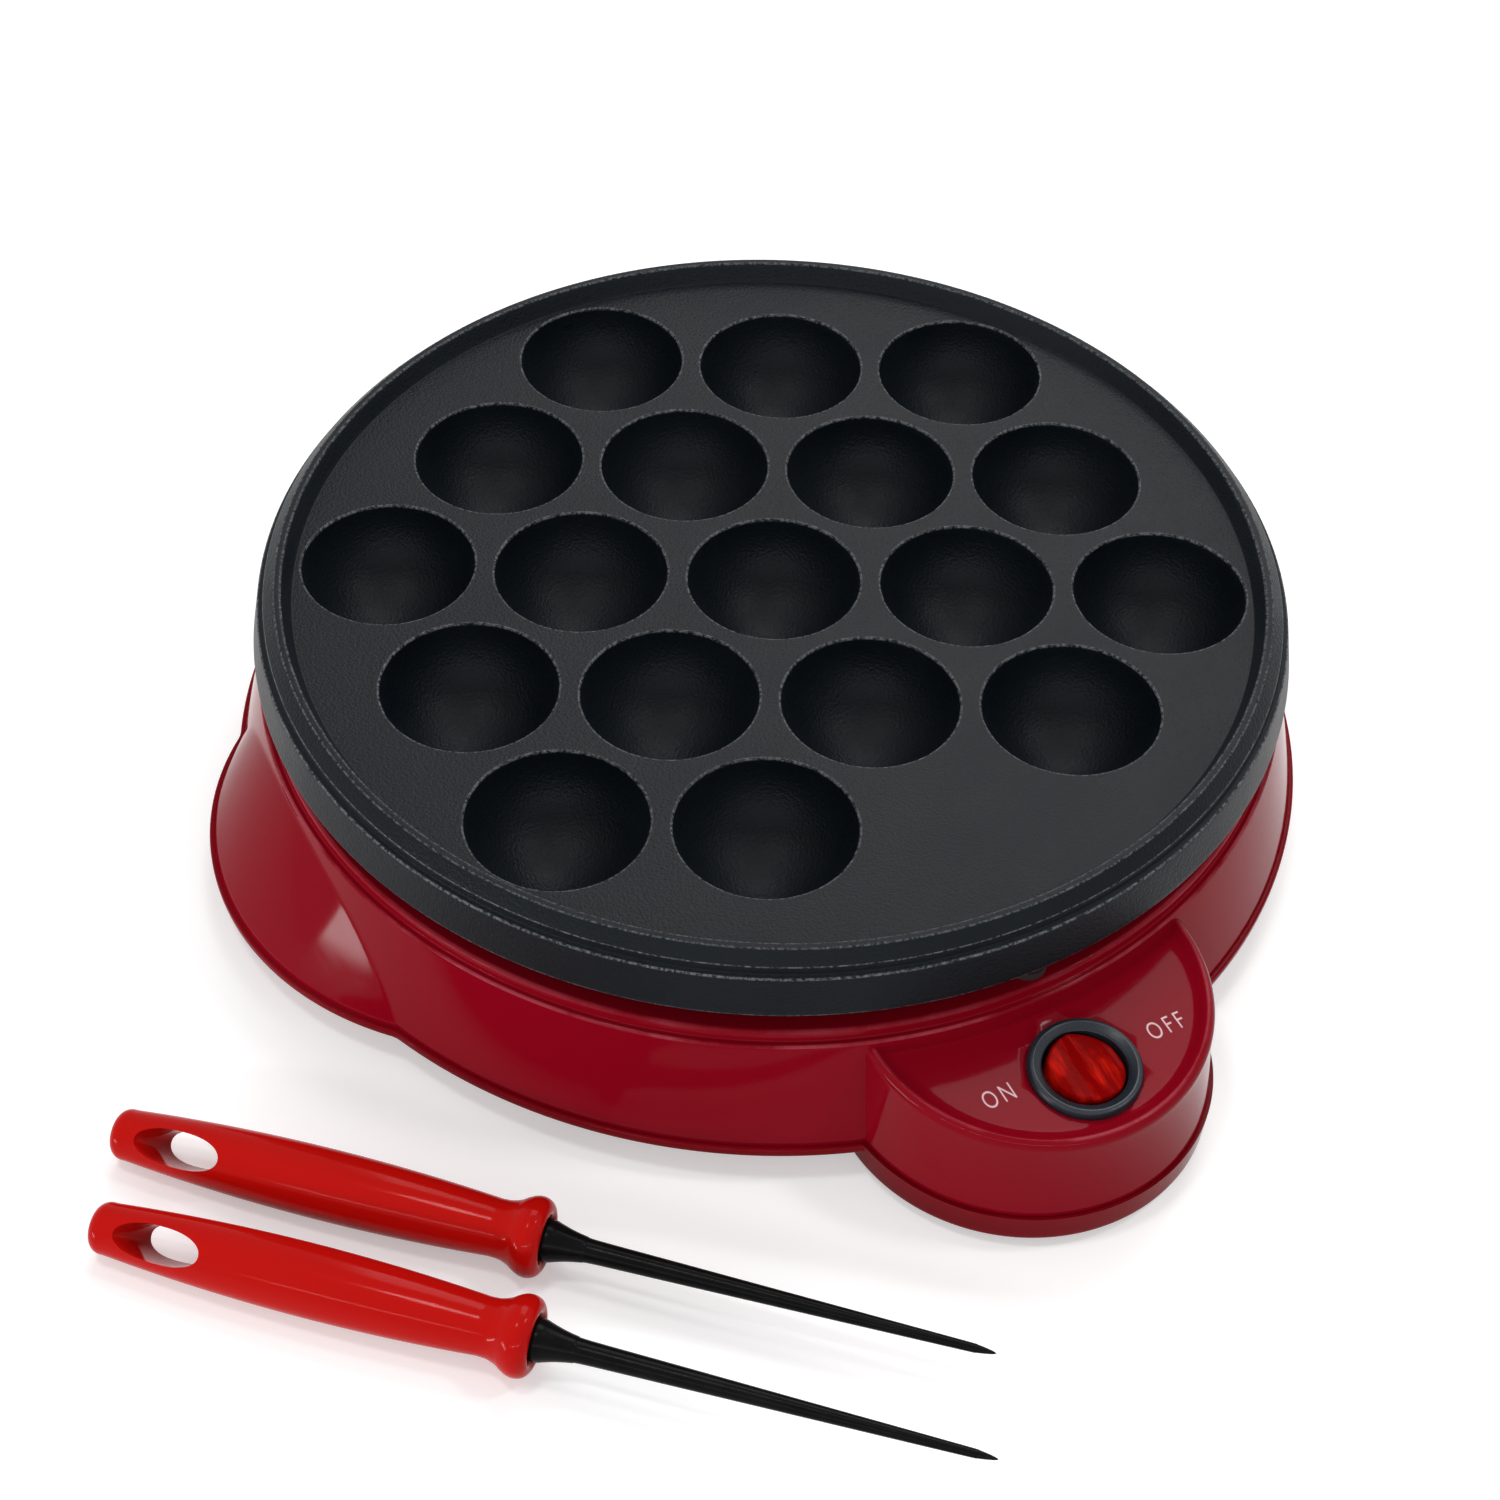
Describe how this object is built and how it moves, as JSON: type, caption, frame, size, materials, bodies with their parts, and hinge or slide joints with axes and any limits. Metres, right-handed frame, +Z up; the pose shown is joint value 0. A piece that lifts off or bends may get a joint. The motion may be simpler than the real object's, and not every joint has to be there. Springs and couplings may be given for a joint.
{
  "type": "takoyaki maker",
  "caption": "Round electric tabletop cooker with a black cast plate of hemispherical cavities on a low red housing, a rocker switch on a front lobe and two turning picks.",
  "frame": {"origin": "centre of the bottom tray's flat underside, on the plate's axis, 2.5 mm above the surface the feet stand on", "axes": "+Z up; -Y towards the control lobe and the cook; +X and -X to the side grips; the cord gland faces +Y"},
  "size_m": [0.3333, 0.3258, 0.0626],
  "materials": {
    "housing_red": "high gloss moulding",
    "tray_red": "gloss moulding, darker",
    "coated_cast": "non-stick coated casting, satin",
    "bezel_black": "semi-gloss",
    "rocker_red": "translucent, polished",
    "handle_red": "high gloss moulding",
    "spike_black": "gloss black coating",
    "rubber_black": "matt",
    "plastic_black": "moulded, matt",
    "plastic_cream": "moulded, matt",
    "steel": "zinc plated",
    "pan_aluminium": "rolled sheet",
    "element_steel": "oxidised tube",
    "ceramic": "white ceramic",
    "spacer_mica": "pressed mica",
    "brass": "bare",
    "sleeve_white": "glass-fibre braid",
    "lead_brown": "insulation",
    "lead_blue": "insulation",
    "lead_green": "insulation",
    "lamp_glass": "clear neon lamp"
  },
  "bodies": {
    "base": {"upper_housing": "housing_red", "bottom_tray": "tray_red", "rubber_feet": "rubber_black", "housing_screws": "steel", "cord_gland": "plastic_black", "cooking_plate": "coated_cast", "plate_spacers": "spacer_mica", "plate_screws": "steel", "reflector_pan": "pan_aluminium", "heating_element": "element_steel", "element_insulators": "ceramic", "element_pins": "steel", "element_clips": "steel", "clip_screws": "steel", "thermostat": "plastic_black", "thermostat_tabs": "brass", "thermostat_bracket": "steel", "bracket_screws": "steel", "thermal_fuse": "steel", "fuse_sleeve": "sleeve_white", "fuse_clamp": "steel", "clamp_screw": "steel", "terminal_block": "plastic_cream", "terminal_screws": "brass", "earth_screw": "steel", "live_lead": "lead_brown", "switched_lead": "lead_brown", "heater_lead": "sleeve_white", "fuse_lead": "sleeve_white", "neutral_lead": "lead_blue", "lamp_lead": "lead_blue", "earth_lead": "lead_green", "switch_housing": "bezel_black", "switch_tabs": "brass", "switch_lamp": "lamp_glass"},
    "rocker": {"switch_rocker": "rocker_red", "switch_plunger": "plastic_cream"},
    "contact": {"contact_lever": "brass"},
    "pick_1": {"pick_1_handle": "handle_red", "pick_1_spike": "spike_black"},
    "pick_2": {"pick_2_handle": "handle_red", "pick_2_spike": "spike_black"}
  },
  "joints": [
    {"name": "rocker_tilt", "type": "hinge", "parent": "base", "child": "rocker", "pos_m": [0, -0.13664, 0.02689], "axis": [0, -0.9969, -0.0785], "range_deg": [0, 16]},
    {"name": "contact_rock", "type": "hinge", "parent": "base", "child": "contact", "pos_m": [0, -0.1359, 0.01752], "axis": [0, 0.9969, 0.0785], "range_deg": [0, 10]},
    {"name": "pick_1_lift", "type": "slide", "parent": "base", "child": "pick_1", "axis": [0, 0, 1], "range_m": [0, 0.12]},
    {"name": "pick_2_lift", "type": "slide", "parent": "base", "child": "pick_2", "axis": [0, 0, 1], "range_m": [0, 0.12]}
  ],
  "couplings": [
    {"joint": "contact_rock", "follows": "rocker_tilt", "ratio": 0.625}
  ]
}
